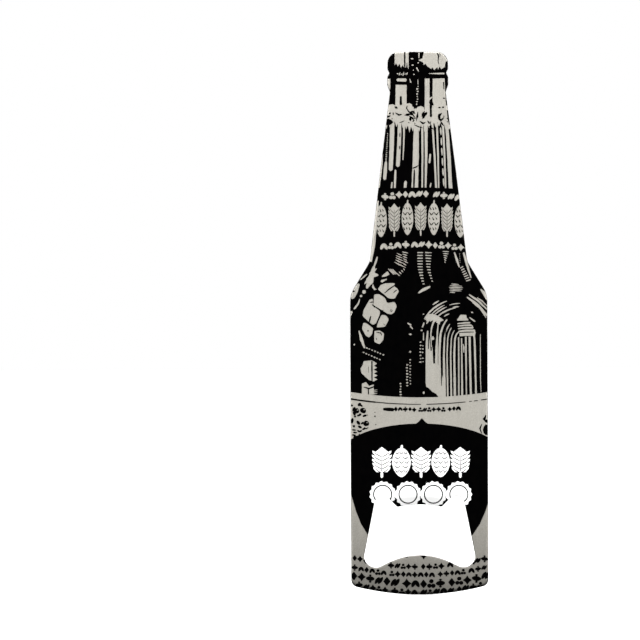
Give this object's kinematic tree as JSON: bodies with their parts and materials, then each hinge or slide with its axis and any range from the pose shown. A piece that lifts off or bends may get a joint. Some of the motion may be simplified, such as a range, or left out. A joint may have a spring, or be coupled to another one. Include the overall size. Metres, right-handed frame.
{
  "type": "souvenir bottle opener",
  "caption": "Flat steel bottle opener in the outline of a long-neck bottle, with a cap window and bent pry tooth near its base, and one face printed in black and white ink.",
  "frame": {"origin": "centre of the bottom of the bounding box, under the lowest point of the curved base edge", "axes": "+Z from the base of the bottle outline to its mouth, +X across its width, the printed face looks along -Y, and the pry tooth stands out towards +Y"},
  "size_m": [0.04, 0.0038, 0.158],
  "materials": {
    "brushed_steel": "satin, fine grain brushed along the bottle's axis",
    "black_ink": "smooth printed ink, semi-gloss",
    "white_ink": "smooth printed ink, semi-gloss"
  },
  "bodies": {
    "root": {"opener_body": "brushed_steel", "black_ink": "black_ink", "white_ink": "white_ink"}
  },
  "joints": []
}
